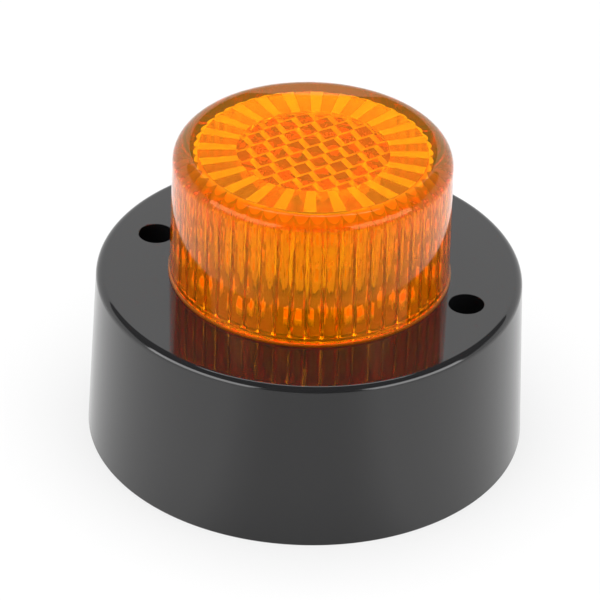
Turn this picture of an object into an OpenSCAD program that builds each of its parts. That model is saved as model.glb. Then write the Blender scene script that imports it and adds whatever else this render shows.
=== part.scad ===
// Amber warning light on a round two-bolt base.
// Millimetres, +Z up, origin at the middle of the mounting face.
// The two mounting holes lie on the X axis.

/* [Base] */
// Radius of the base at the mounting face
base_r = 50.8; // [50:0.1:54]
// Radius that the tapered wall reaches at deck height
base_top_r = 49; // [48:0.1:50]
// Height of the deck above the mounting face
base_h = 41.4; // [40:0.1:46]
// Thickness of the side wall
wall_t = 2.6; // [2:0.1:3]
// Thickness of the deck
deck_t = 3; // [2.5:0.1:3.5]
// Rounding between the deck and the wall
rim_r = 1.7; // [1:0.1:3]
// Number of stiffening ribs under the deck
rib_count = 8; // [4:4:16]
// Thickness of a rib
rib_t = 1.8; // [1.2:0.1:2.4]

/* [Mounting] */
// Distance between the centres of the two mounting holes
mount_spacing = 76.2; // [75:0.1:78]
// Radius of a mounting hole
mount_hole_r = 4.05; // [3:0.05:4.2]
// Outer radius of the tube round a mounting hole
mount_tube_r = 6.4; // [6:0.1:6.6]

/* [Lens] */
// Radius of the lens foot on the deck
lens_foot_r = 32.5; // [32.2:0.1:33]
// Radius that the lens wall reaches at the top
lens_top_r = 31.8; // [31:0.1:32.4]
// Height of the lens above the deck
lens_h = 32.7; // [30:0.1:40]
// Rounding of the lens shoulder
shoulder_r = 3.9; // [2:0.1:5]
// Thickness of the plain top of the lens
lens_top_t = 2.8; // [2:0.1:4]
// Radius at the bottom of the flutes inside the wall
flute_out_r = 27.2; // [26.5:0.1:27.3]
// Number of upright flutes inside the wall
flute_count = 48; // [24:6:60]
// Radius of one flute's round
flute_r = 2.1; // [2:0.1:3]
// Number of radial channels under the top
spoke_count = 24; // [12:6:36]
// Angle that each radial channel spans [degree]
spoke_angle = 6.5; // [4:0.5:9]
// Radius of the patch of cube-corner prisms under the top
prism_patch_r = 17.4; // [14:0.1:19]
// Centre distance of neighbouring prisms
prism_pitch = 4.75; // [4:0.05:6]

/* [Lens thread] */
// Rise of the lens for one turn
thread_pitch = 3; // [2.8:0.1:3.2]
// Radius of the lens neck at the thread root
neck_r = 29; // [28.8:0.1:29.2]
// Height of the thread ridge
thread_d = 0.9; // [0.6:0.05:1]
// Gap between the neck and the collar's thread
thread_gap = 0.3; // [0.2:0.05:0.4]
// Length of the neck below the deck
neck_l = 10; // [9:0.1:10.5]

/* [Lamp] */
// Width across the flats of the heat post
post_af = 18; // [14:0.5:22]
// Height of the heat post
post_h = 22; // [18:0.5:23]
// Edge length of a square lamp
led_w = 5; // [3:0.1:5.4]
// Height of a lamp
led_t = 1.6; // [0.8:0.1:2]
// Number of lamps in the ring round the post
ring_led_count = 12; // [6:2:16]

/* [Electronics] */
// Radius of the driver board
driver_r = 30; // [28:0.5:30.5]
// Height of the driver board's underside
driver_z = 14; // [10:0.5:15]
// Thickness of a circuit board
board_t = 1.6; // [1:0.1:2]
// Radius of the hole for the supply cable
cable_r = 2.6; // [2:0.1:3]

/* [Hidden] */

// Small overlap that keeps two fused shapes from only touching
eps = 0.3;
// How far the wall ends inside its rounded rim, so that the two cross cleanly
rim_sink = 0.004;
big = 200;

// Base levels and radii
taper = atan((base_r - base_top_r) / base_h);
floor_r = base_r - wall_t;
plate_z = 1.2;
plate_t = 2.4;
plate_top = plate_z + plate_t;
plate_gap = 0.6;
tube_gap = 0.4;
plate_screw_count = 4;
plate_screw_post_r = 3.8;
plate_screw_at = floor_r - plate_screw_post_r - 2;
plate_hole_r = 1.7;
plate_screw_l = 12;
foot_hole_r = 3.4;
screw_r = 1.25;
head_r = 2.8;
small_head_r = 2.2;
small_head_h = 1.4;
tray_screw_l = 8;
pilot_r = 1.3;
grommet_t = 1.3;
grommet_flange_r = cable_r + 2.3;
grommet_flange_t = 1;
rib_h = 9;

// Collar, which hangs from the deck and takes the lens neck
collar_bore_r = neck_r + thread_d + thread_gap;
collar_t = 2.2;
collar_r = collar_bore_r + collar_t;
neck_clear = 1;
ledge_top = base_h - neck_l - neck_clear;
ledge_t = 2.5;
ledge_r = 20;
ledge_hole_r = 1.4;
seal_wire_r = 0.9;
seal_seat_d = 2 * seal_wire_r + 0.1;
seal_seat_r = collar_bore_r + 1.2;
seal_r = neck_r + thread_gap + seal_wire_r;

// Lens levels
lens_top = base_h + lens_h;
roof_z = lens_top - lens_top_t;
neck_bore_r = flute_out_r + 0.2;
flute_floor = base_h + 0.2;
foot_lip_h = 0.8;
foot_lip_r = 0.3;
neck_chamfer = 0.6;
spoke_depth = 0.4;
core_chamfer = 1.1;
prism_rise = 0.15;
lens_turns = 1.5;
collar_turns = 2;

// Thread ridge: width at its base and crest, and the steps in one turn
ridge_base = 1.5;
ridge_crest = 0.7;
ridge_steps = 48;
lens_ridge_z = ledge_top + 2.7;
collar_ridge_z = lens_ridge_z - thread_pitch / 2;

// Lamp levels
tray_t = 2;
tray_r = 26.6;
tray_wall_t = 2.4;
tray_top = base_h - 1.4;
tray_screw_at = 22.8;
tray_boss_r = 2.5;
tray_pilot_r = 1.05;
post_hole_r = 2.2;
lamp_board_r = 26;
post_z = tray_top + board_t;
post_top = post_z + post_h;
strip_t = 1;
strip_w = post_af * tan(30) - 1;
strip_l = post_h - 2;
strip_z = post_z + 1;
cap_t = 1.2;
ring_led_at = 20;
side_led_rows = [0.27, 0.75];
cap_led_at = 5.4;
cap_led_scale = 0.7;
post_screw_r = 1.6;
post_bite = 7;
cap_screw_r = 1.2;

// Driver board
driver_top = driver_z + board_t;
driver_screw_at = 26;
driver_post_r = 3.2;
driver_hole_r = 5;
lead_r = 0.75;
lead_at = [0, 18.5];
lead_gap = 5;

// Parts on the driver board: size and place
terminal_way = 5.08;
terminal_d = 8.2;
terminal_h = 10;
terminal_x = -26;
large_can_r = 5;
large_can_h = 12;
large_can_at = [13, 9];
small_can_r = 3.15;
small_can_h = 8;
small_can_at = [16, -6];
choke_r = 5.5;
choke_h = 7;
choke_at = [-11, 13];
chip_at = [0, -14];
diode_at = [[-10, -15], [-16, -12]];
resistor_count = 6;
resistor_at = [4.8, -15];
resistor_step = 2.6;

$fn = 96;

// Puts the children round the Z axis at radius r, in count equal steps.
module around(count, r, start = 0) {
    for (k = [0 : count - 1])
        rotate([0, 0, start + k * 360 / count])
            translate([r, 0, 0])
                children();
}

// Cross-recessed screw, head up, with the underside of the head at z = 0.
module screw(shank_r, shank_l, head_r, head_h) {
    slot_w = head_r * 0.28;
    translate([0, 0, -shank_l])
        cylinder(r = shank_r, h = shank_l + eps);
    difference() {
        rotate_extrude()
            intersection() {
                square([head_r, head_h]);
                translate([0, -head_r])
                    circle(r = head_r + head_h);
            }
        for (a = [0, 90])
            rotate([0, 0, a])
                translate([-head_r * 0.6, -slot_w / 2, head_h * 0.45])
                    cube([head_r * 1.2, slot_w, head_h]);
    }
}

// Square surface-mounted lamp, standing on z = 0, with a round lit window.
module led() {
    window_r = led_w * 0.4;
    difference() {
        translate([-led_w / 2, -led_w / 2, 0])
            cube([led_w, led_w, led_t]);
        translate([0, 0, led_t - 0.25])
            cylinder(r = window_r, h = 1);
    }
}

// The same faces seen from the other side.
function turned(faces) = [for (f = faces) [for (k = [len(f) - 1 : -1 : 0]) f[k]]];

// Helical ridge of a thread. It starts on the X axis at z = 0 and climbs
// counter-clockwise. root is the radius inside the wall that carries it,
// crest is the radius of its edge.
module thread_ridge(root, crest, turns) {
    steps = round(ridge_steps * turns);
    ring = [
        [root, -ridge_base / 2], [crest, -ridge_crest / 2],
        [crest, ridge_crest / 2], [root, ridge_base / 2],
    ];
    points = [
        for (s = [0 : steps])
            for (p = ring)
                let (a = s * 360 / ridge_steps)
                [p[0] * cos(a), p[0] * sin(a), p[1] + thread_pitch * s / ridge_steps],
    ];
    start_cap = [3, 2, 1, 0];
    end_cap = [for (k = [0 : 3]) 4 * steps + k];
    sides = [
        for (s = [0 : steps - 1])
            for (k = [0 : 3])
                let (n = (k + 1) % 4, a = 4 * s, b = 4 * (s + 1))
                each [[a + k, b + n, b + k], [a + k, a + n, b + n]],
    ];
    faces = concat([start_cap], [end_cap], sides);
    polyhedron(points = points, faces = crest > root ? faces : turned(faces));
}

// Block whose underside is a field of cube corners pointing down. The corners
// stand prism_pitch apart in a hexagonal grid with one row along X. Every
// triangle of the grid joins a tip, a shoulder and a peak, at z = -tip_d,
// -shoulder_d and 0.
module cube_corner_block(reach, top) {
    side = prism_pitch / sqrt(3);
    edge = prism_pitch / sqrt(2);
    step_z = edge / sqrt(3);
    level = [-2 * step_z, 0, -step_z];
    n = ceil(reach / (side * cos(30)));
    w = 2 * n + 1;
    low = [
        for (j = [-n : n])
            for (i = [-n : n])
                let (c = ((i - j) % 3 + 3) % 3)
                [side * (i + j) * cos(30), side * (j - i) / 2, level[c]],
    ];
    high = [for (p = low) [p[0], p[1], top]];
    m = w * w;
    floor_faces = [
        for (j = [0 : w - 2])
            for (i = [0 : w - 2])
                let (a = j * w + i, b = a + 1, c = a + w, d = c + 1)
                each [[a, b, c], [b, d, c]],
    ];
    roof_faces = [
        for (j = [0 : w - 2])
            for (i = [0 : w - 2])
                let (a = m + j * w + i, b = a + 1, c = a + w, d = c + 1)
                each [[a, c, b], [b, c, d]],
    ];
    rim = concat(
        [for (i = [0 : w - 1]) i],
        [for (j = [1 : w - 1]) j * w + w - 1],
        [for (i = [w - 2 : -1 : 0]) (w - 1) * w + i],
        [for (j = [w - 2 : -1 : 1]) j * w]
    );
    walls = [
        for (k = [0 : len(rim) - 1])
            let (a = rim[k], b = rim[(k + 1) % len(rim)])
            each [[a, m + a, b], [b, m + a, m + b]],
    ];
    polyhedron(points = concat(low, high), faces = concat(floor_faces, roof_faces, walls));
}

// Outline of the base shell, from the axis outwards: the tapered wall, the
// rounded rim and the deck, with the hollow below it.
module shell_outline() {
    rim_z = base_h - rim_r;
    rim_at = base_r - rim_z * tan(taper) - rim_r / cos(taper);
    wall_end = rim_r - rim_sink;
    inner_top = base_h - deck_t;
    difference() {
        union() {
            polygon([
                [0, 0], [base_r, 0],
                [rim_at + wall_end * cos(taper), rim_z + wall_end * sin(taper)],
                [rim_at, base_h], [0, base_h],
            ]);
            translate([rim_at, rim_z])
                circle(r = rim_r);
        }
        polygon([
            [-1, -1], [floor_r + tan(taper), -1],
            [floor_r - inner_top * tan(taper), inner_top], [-1, inner_top],
        ]);
    }
}

module base_housing() {
    under_deck = base_h - deck_t;
    color([0.09, 0.09, 0.1]) {
        difference() {
            union() {
                rotate_extrude()
                    shell_outline();
                around(2, mount_spacing / 2)
                    cylinder(r = mount_tube_r, h = base_h - deck_t / 2);
                translate([0, 0, ledge_top - ledge_t])
                    cylinder(r = collar_r, h = base_h - ledge_top + ledge_t - deck_t / 2);
                around(rib_count, collar_r - 1, 180 / rib_count)
                    translate([0, -rib_t / 2, under_deck - rib_h])
                        cube([floor_r - collar_r + 1, rib_t, rib_h + eps]);
                around(plate_screw_count, plate_screw_at, 45)
                    translate([0, 0, plate_top]) {
                        cylinder(r = plate_screw_post_r, h = under_deck - plate_top + eps);
                        translate([0, -rib_t / 2, 0])
                            cube([floor_r - plate_screw_at + 0.4, rib_t, under_deck - plate_top]);
                    }
            }
            around(2, mount_spacing / 2)
                translate([0, 0, -1])
                    cylinder(r = mount_hole_r, h = base_h + 2);
            translate([0, 0, ledge_top])
                cylinder(r = collar_bore_r, h = big);
            translate([0, 0, base_h - seal_seat_d])
                cylinder(r = seal_seat_r, h = big);
            cylinder(r = ledge_r, h = big);
            around(3, tray_screw_at, 90)
                translate([0, 0, ledge_top - ledge_t - 1])
                    cylinder(r = ledge_hole_r, h = ledge_t + 2);
            around(plate_screw_count, plate_screw_at, 45)
                translate([0, 0, plate_top - 1])
                    cylinder(r = pilot_r, h = plate_screw_l + 1);
        }
        translate([0, 0, collar_ridge_z])
            thread_ridge(collar_bore_r + eps, collar_bore_r - thread_d, collar_turns);
    }
}

module base_plate() {
    color([0.12, 0.12, 0.13])
        difference() {
            union() {
                translate([0, 0, plate_z])
                    cylinder(r = floor_r - plate_gap, h = plate_t);
                around(3, driver_screw_at, 90)
                    translate([0, 0, plate_z])
                        cylinder(r = driver_post_r, h = driver_z - plate_z);
            }
            around(2, mount_spacing / 2)
                cylinder(r = mount_tube_r + tube_gap, h = big);
            around(plate_screw_count, plate_screw_at, 45)
                cylinder(r = plate_hole_r, h = big);
            around(3, driver_screw_at, 90)
                translate([0, 0, plate_top + 1])
                    cylinder(r = pilot_r, h = big);
            cylinder(r = cable_r + grommet_t, h = big);
        }
}

module foot_seal() {
    color([0.2, 0.2, 0.21])
        difference() {
            cylinder(r = floor_r - plate_gap, h = plate_z);
            translate([0, 0, -1])
                cylinder(r = grommet_flange_r + 0.15, h = big);
            around(2, mount_spacing / 2)
                translate([0, 0, -1])
                    cylinder(r = mount_tube_r + tube_gap, h = big);
            around(plate_screw_count, plate_screw_at, 45)
                translate([0, 0, -1])
                    cylinder(r = foot_hole_r, h = big);
        }
}

module plate_screws() {
    color([0.62, 0.63, 0.66])
        around(plate_screw_count, plate_screw_at, 45)
            translate([0, 0, plate_z])
                rotate([180, 0, 0])
                    screw(screw_r, plate_screw_l, head_r, 1);
}

// Rubber bush in the plate, with a flange on both sides.
module cable_grommet() {
    flange_t = grommet_flange_t;
    color([0.07, 0.07, 0.07])
        difference() {
            union() {
                translate([0, 0, plate_z - flange_t])
                    cylinder(r = grommet_flange_r, h = flange_t);
                translate([0, 0, plate_z - flange_t])
                    cylinder(r = cable_r + grommet_t, h = plate_t + 2 * flange_t);
                translate([0, 0, plate_top])
                    cylinder(r = grommet_flange_r, h = flange_t);
            }
            translate([0, 0, -1])
                cylinder(r = cable_r, h = big);
        }
}

module driver_board() {
    color([0.05, 0.3, 0.16])
        translate([0, 0, driver_z])
            difference() {
                cylinder(r = driver_r, h = board_t);
                translate([0, 0, -1])
                    cylinder(r = driver_hole_r, h = board_t + 2);
                around(3, driver_screw_at, 90)
                    translate([0, 0, -1])
                        cylinder(r = screw_r + 0.35, h = board_t + 2);
            }
}

module board_screws() {
    color([0.7, 0.71, 0.73])
        around(3, driver_screw_at, 90)
            translate([0, 0, driver_top])
                screw(screw_r, 8, head_r, 1.9);
}

// Two-way terminal block with its wire mouths facing the board's edge.
module terminal_block() {
    mouth_w = 3.2;
    mouth_h = 4;
    screw_well_r = 2;
    bevel = 1.6;
    color([0.1, 0.36, 0.2])
        translate([terminal_x, -terminal_way, driver_top])
            difference() {
                cube([terminal_d, 2 * terminal_way, terminal_h]);
                for (k = [0, 1])
                    translate([0, terminal_way * (k + 0.5), 0]) {
                        translate([-1, -mouth_w / 2, 2])
                            cube([terminal_d - 2, mouth_w, mouth_h]);
                        translate([terminal_d / 2, 0, terminal_h - 3])
                            cylinder(r = screw_well_r, h = big);
                    }
                translate([-1, -1, terminal_h - bevel])
                    rotate([0, -45, 0])
                        cube([4, 2 * terminal_way + 2, 4]);
            }
}

module terminal_screws() {
    head_h = 2;
    slot_w = 0.6;
    color([0.75, 0.75, 0.78])
        for (k = [0, 1])
            translate([terminal_x + terminal_d / 2, terminal_way * (k - 0.5), driver_top + terminal_h - 3])
                difference() {
                    cylinder(r = 1.85, h = head_h);
                    translate([-2, -slot_w / 2, head_h - 0.8])
                        cube([4, slot_w, head_h]);
                }
}

// Standing can capacitor with a bead near its foot and a scored top.
module can_capacitor(r, h) {
    edge_r = 0.8;
    bead_r = 0.9;
    score = 0.3;
    difference() {
        rotate_extrude()
            difference() {
                union() {
                    square([r, h - edge_r]);
                    square([r - edge_r, h]);
                    translate([r - edge_r, h - edge_r])
                        circle(r = edge_r);
                }
                translate([r + 0.5, 2])
                    circle(r = bead_r);
                translate([-1, -1])
                    square([1, h + 2]);
            }
        for (a = [0, 60, 120])
            rotate([0, 0, a])
                translate([-r * 0.7, -score / 2, h - score])
                    cube([r * 1.4, score, 1]);
    }
}

module capacitor_large() {
    color([0.12, 0.14, 0.3])
        translate([large_can_at[0], large_can_at[1], driver_top])
            can_capacitor(large_can_r, large_can_h);
}

module capacitor_small() {
    color([0.12, 0.14, 0.3])
        translate([small_can_at[0], small_can_at[1], driver_top])
            can_capacitor(small_can_r, small_can_h);
}

// Drum-core choke: a waisted ferrite with its winding in the waist.
module choke() {
    flange_t = 1.4;
    wound_r = choke_r - 0.4;
    wire_step = 0.7;
    color([0.2, 0.2, 0.22])
        translate([choke_at[0], choke_at[1], driver_top])
            rotate_extrude()
                difference() {
                    square([choke_r, choke_h]);
                    translate([wound_r, flange_t])
                        square([1, choke_h - 2 * flange_t]);
                    for (z = [flange_t + wire_step / 2 : wire_step : choke_h - flange_t])
                        translate([wound_r, z])
                            circle(r = 0.2);
                }
}

// Eight-lead surface-mounted chip.
module driver_chip() {
    body = [5, 4, 1.5];
    stand_off = 0.15;
    lead = [0.4, 1.2, 0.25];
    lead_step = 1.27;
    color([0.08, 0.08, 0.08])
        translate([chip_at[0], chip_at[1], driver_top]) {
            difference() {
                translate([-body[0] / 2, -body[1] / 2, stand_off])
                    cube(body);
                translate([-1.8, -1.3, stand_off + body[2] - 0.2])
                    cylinder(r = 0.35, h = 1);
            }
            for (k = [0 : 3])
                for (side = [-1, 1])
                    translate([(k - 1.5) * lead_step, side * 2.5, 0])
                        translate([-lead[0] / 2, -lead[1] / 2, 0])
                            cube(lead);
        }
}

module power_diodes() {
    body = [2.6, 4.2, 2];
    tab = [1.4, 1, 0.6];
    color([0.1, 0.1, 0.11])
        for (at = diode_at)
            translate([at[0], at[1], driver_top]) {
                translate([-body[0] / 2, -body[1] / 2, 0.2])
                    cube(body);
                for (side = [-1, 1])
                    translate([-tab[0] / 2, side * 2.2 - tab[1] / 2, 0])
                        cube(tab);
            }
}

module chip_resistors() {
    color([0.15, 0.15, 0.16])
        for (k = [0 : resistor_count - 1])
            translate([resistor_at[0] + resistor_step * k, resistor_at[1] - k % 2, driver_top])
                cube([1.2, 2, 0.6]);
}

// Two insulated leads that carry current up to the lamp board.
module lamp_leads() {
    color([0.7, 0.08, 0.06])
        for (side = [-1, 1])
            translate([lead_at[0] + side * lead_gap / 2, lead_at[1], driver_top])
                cylinder(r = lead_r, h = tray_top - driver_top);
}

// White dish that stands on the collar's ledge and carries the lamp board.
module lamp_tray() {
    color([0.93, 0.93, 0.92])
        difference() {
            union() {
                difference() {
                    translate([0, 0, ledge_top])
                        cylinder(r = tray_r, h = tray_top - ledge_top);
                    translate([0, 0, ledge_top - 1])
                        cylinder(r = tray_r - tray_wall_t, h = tray_top - tray_t - ledge_top + 1);
                }
                around(3, tray_screw_at, 90)
                    translate([0, 0, ledge_top + eps])
                        cylinder(r = tray_boss_r, h = tray_top - ledge_top - 2 * eps);
            }
            around(3, tray_screw_at, 90)
                translate([0, 0, ledge_top - 1])
                    cylinder(r = tray_pilot_r, h = tray_screw_l - ledge_t + 1.5);
            translate([0, 0, ledge_top])
                cylinder(r = post_hole_r, h = big);
            for (side = [-1, 1])
                translate([lead_at[0] + side * lead_gap / 2, lead_at[1], ledge_top])
                    cylinder(r = lead_r + tube_gap, h = big);
        }
}

module tray_screws() {
    color([0.7, 0.71, 0.73])
        around(3, tray_screw_at, 90)
            translate([0, 0, ledge_top - ledge_t])
                rotate([180, 0, 0])
                    screw(1, tray_screw_l, small_head_r, small_head_h);
}

module lamp_board() {
    color([0.95, 0.95, 0.94])
        translate([0, 0, tray_top])
            difference() {
                cylinder(r = lamp_board_r, h = board_t);
                translate([0, 0, -1])
                    cylinder(r = post_hole_r, h = board_t + 2);
            }
}

module ring_leds() {
    color([0.98, 0.9, 0.6])
        around(ring_led_count, ring_led_at, 180 / ring_led_count)
            translate([0, 0, post_z])
                led();
}

// Hexagonal aluminium bar that carries the lamp strips and takes their heat.
module heat_post() {
    color([0.8, 0.81, 0.83])
        translate([0, 0, post_z])
            difference() {
                rotate([0, 0, 30])
                    cylinder(d = post_af / cos(30), h = post_h, $fn = 6);
                translate([0, 0, -1])
                    cylinder(r = post_screw_r + 0.05, h = post_bite + 2);
                translate([0, 0, post_h - 7])
                    cylinder(r = cap_screw_r + 0.05, h = big);
            }
}

module post_screw() {
    color([0.7, 0.71, 0.73])
        translate([0, 0, tray_top - tray_t])
            rotate([180, 0, 0])
                screw(post_screw_r, tray_t + board_t + post_bite, 3.6, 2.4);
}

// Narrow board on flat number k of the post.
module led_board(k) {
    color([0.95, 0.95, 0.94])
        rotate([0, 0, 60 * (k - 1)])
            translate([post_af / 2, -strip_w / 2, strip_z])
                cube([strip_t, strip_w, strip_l]);
}

module side_leds() {
    color([0.98, 0.9, 0.6])
        around(6, post_af / 2 + strip_t)
            for (row = side_led_rows)
                translate([0, 0, strip_z + row * strip_l])
                    rotate([0, 90, 0])
                        led();
}

module cap_board() {
    color([0.95, 0.95, 0.94])
        translate([0, 0, post_top])
            difference() {
                rotate([0, 0, 30])
                    cylinder(d = (post_af - 0.4) / cos(30), h = cap_t, $fn = 6);
                translate([0, 0, -1])
                    cylinder(r = cap_screw_r + 0.3, h = cap_t + 2);
            }
}

module cap_leds() {
    color([0.98, 0.9, 0.6])
        around(3, cap_led_at, 60)
            translate([0, 0, post_top + cap_t])
                scale(cap_led_scale)
                    led();
}

module cap_screw() {
    color([0.7, 0.71, 0.73])
        translate([0, 0, post_top + cap_t])
            screw(cap_screw_r, 6, small_head_r, small_head_h);
}

module lens_seal() {
    color([0.06, 0.06, 0.06])
        translate([0, 0, base_h - seal_wire_r - 0.05])
            rotate_extrude()
                translate([seal_r, 0])
                    circle(r = seal_wire_r);
}

// Outline of the lens before its inside is taken out: neck, foot lip,
// tapered wall, rounded shoulder and flat top.
module lens_outline() {
    draft = atan((lens_foot_r - foot_lip_r - lens_top_r) / lens_h);
    round_z = lens_top - shoulder_r;
    wall_at = lens_foot_r - foot_lip_r - (round_z - base_h) * tan(draft);
    round_at = wall_at - shoulder_r / cos(draft);
    polygon([
        [0, base_h - neck_l], [neck_r - neck_chamfer, base_h - neck_l],
        [neck_r, base_h - neck_l + neck_chamfer], [neck_r, base_h],
        [lens_foot_r, base_h], [lens_foot_r, base_h + foot_lip_h - foot_lip_r],
        [lens_foot_r - foot_lip_r, base_h + foot_lip_h],
        [round_at + shoulder_r * cos(draft), round_z + shoulder_r * sin(draft)],
        [round_at, lens_top], [0, lens_top],
    ]);
    translate([round_at, round_z])
        circle(r = shoulder_r);
}

// Bounds the core of the lens, with its top edge chamfered all round.
module core_cone() {
    cone_foot = roof_z - 2 * core_chamfer;
    translate([0, 0, cone_foot])
        cylinder(r1 = flute_out_r + core_chamfer, r2 = flute_out_r - core_chamfer, h = 2 * core_chamfer);
    translate([0, 0, base_h])
        cylinder(r = flute_out_r + core_chamfer, h = cone_foot - base_h + eps);
}

// One radial channel under the top, which widens outwards.
module channel() {
    start = prism_patch_r - eps;
    end = flute_out_r - core_chamfer + eps;
    slope = tan(spoke_angle / 2);
    translate([0, 0, roof_z - core_chamfer])
        linear_extrude(core_chamfer + spoke_depth)
            polygon([
                [start, -start * slope],
                [end, -end * slope],
                [end, end * slope],
                [start, start * slope],
            ]);
}

// The lens: its turned body without the fluted core, with prisms and a thread.
module lens() {
    flute_at = flute_out_r - flute_r;
    cusp_r = flute_at * cos(180 / flute_count)
        + sqrt(pow(flute_r, 2) - pow(flute_at * sin(180 / flute_count), 2));
    peak_z = roof_z - prism_rise;
    color([1, 0.55, 0, 0.6]) {
        difference() {
            rotate_extrude()
                lens_outline();
            intersection() {
                translate([0, 0, flute_floor - eps])
                    linear_extrude(roof_z - flute_floor + eps)
                        union() {
                            circle(r = cusp_r + 0.05);
                            around(flute_count, flute_at)
                                circle(r = flute_r);
                        }
                core_cone();
            }
            translate([0, 0, base_h - neck_l - 1])
                cylinder(r = neck_bore_r, h = flute_floor - base_h + neck_l + 1);
            around(spoke_count, 0, 90 / spoke_count)
                channel();
        }
        intersection() {
            translate([0, 0, peak_z])
                cube_corner_block(prism_patch_r, 0.6);
            translate([0, 0, base_h])
                cylinder(r = prism_patch_r, h = big);
        }
        translate([0, 0, lens_ridge_z])
            thread_ridge(neck_r - eps, neck_r + thread_d, lens_turns);
    }
}

base_housing();
base_plate();
foot_seal();
plate_screws();
cable_grommet();
driver_board();
board_screws();
terminal_block();
terminal_screws();
capacitor_large();
capacitor_small();
choke();
driver_chip();
power_diodes();
chip_resistors();
lamp_leads();
lamp_tray();
tray_screws();
lamp_board();
ring_leds();
heat_post();
post_screw();
led_board(1);  // led_board_1
led_board(2);  // led_board_2
led_board(3);  // led_board_3
led_board(4);  // led_board_4
led_board(5);  // led_board_5
led_board(6);  // led_board_6
side_leds();
cap_board();
cap_leds();
cap_screw();
lens_seal();
lens();
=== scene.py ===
"""Dresses an amber warning light: a black moulded base, a screw-in amber lens and the lamps inside it.

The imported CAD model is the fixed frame. Every length is in metres, +Z is up, the origin is the middle of
the mounting face and the two mounting holes lie on the X axis.
"""

from __future__ import annotations

import logging
import math
from dataclasses import dataclass, field
from enum import Enum
from typing import Callable, Iterable

import bpy
from mathutils import Matrix, Vector


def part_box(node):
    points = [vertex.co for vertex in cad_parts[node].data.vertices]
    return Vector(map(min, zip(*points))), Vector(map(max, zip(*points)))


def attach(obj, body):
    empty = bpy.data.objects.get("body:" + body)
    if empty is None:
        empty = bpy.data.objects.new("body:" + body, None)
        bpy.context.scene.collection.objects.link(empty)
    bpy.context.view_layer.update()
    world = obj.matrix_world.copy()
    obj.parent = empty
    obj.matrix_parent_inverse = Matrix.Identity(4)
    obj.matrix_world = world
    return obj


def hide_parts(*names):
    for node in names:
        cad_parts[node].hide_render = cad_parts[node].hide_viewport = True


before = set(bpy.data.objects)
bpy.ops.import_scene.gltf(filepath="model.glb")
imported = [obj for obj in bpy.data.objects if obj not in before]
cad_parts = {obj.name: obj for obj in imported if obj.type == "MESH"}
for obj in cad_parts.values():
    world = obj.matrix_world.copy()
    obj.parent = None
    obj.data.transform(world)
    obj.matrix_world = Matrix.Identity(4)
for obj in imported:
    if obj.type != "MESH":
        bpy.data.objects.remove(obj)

MM = 0.001
TOUCH = 0.01 * MM  # points this close count as being at one place
WELD = 0.001 * MM  # points this close are merged
FACING = 0.9  # a face whose unit normal reaches this far along an axis faces that way
LOG = logging.getLogger("warning_light")

FaceTest = Callable[[Vector, Vector], bool]
EdgeTest = Callable[[Vector, Vector], bool]


# --------------------------------------------------------------------------- sizes from the frame


def lowest(node: str) -> tuple[float, ...]:
    """Gives the lowest corner of a CAD node's box, to the micrometre."""
    return tuple(round(c, 6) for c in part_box(node)[0])


def highest(node: str) -> tuple[float, ...]:
    """Gives the highest corner of a CAD node's box, to the micrometre."""
    return tuple(round(c, 6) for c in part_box(node)[1])


# --------------------------------------------------------------------------- colours and shader nodes


def linear(hex_code: str) -> tuple[float, float, float, float]:
    """Turns an sRGB hex colour into the linear colour that shaders take.

    Args:
        hex_code: six hex digits, such as "ff8c00".

    Returns:
        Linear red, green, blue and an alpha of 1.
    """
    channels = []
    for start in (0, 2, 4):
        value = int(hex_code[start:start + 2], 16) / 255
        channels.append(value / 12.92 if value <= 0.04045 else ((value + 0.055) / 1.055) ** 2.4)
    return (channels[0], channels[1], channels[2], 1.0)


def add_node(owner: bpy.types.ID, kind: str, settings: dict | None = None,
             links: dict | None = None) -> bpy.types.Node:
    """Adds one shader node with its settings and the links into it.

    Args:
        owner: the material or world, whose tree gets the node.
        kind: the node's type, such as "ShaderNodeTexNoise".
        settings: attribute names, or input names or numbers, with their values.
        links: input names or numbers with the output sockets that feed them.

    Returns:
        The new node.
    """
    tree = owner.node_tree
    node = tree.nodes.new(kind)
    for key, value in (settings or {}).items():
        if isinstance(key, str) and hasattr(node, key):
            setattr(node, key, value)
        else:
            node.inputs[key].default_value = value
    for key, socket in (links or {}).items():
        tree.links.new(socket, node.inputs[key])
    return node


def bare_material(name: str) -> tuple[bpy.types.Material, bpy.types.NodeSocket]:
    """Makes a material that holds nothing yet but its coordinates.

    Args:
        name: the material's name.

    Returns:
        The material and its Object coordinate socket.
    """
    material = bpy.data.materials.new(name)
    material.use_nodes = True
    material.node_tree.nodes.clear()
    coordinates = add_node(material, "ShaderNodeTexCoord")
    return material, coordinates.outputs["Object"]


# --------------------------------------------------------------------------- finishes


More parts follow.
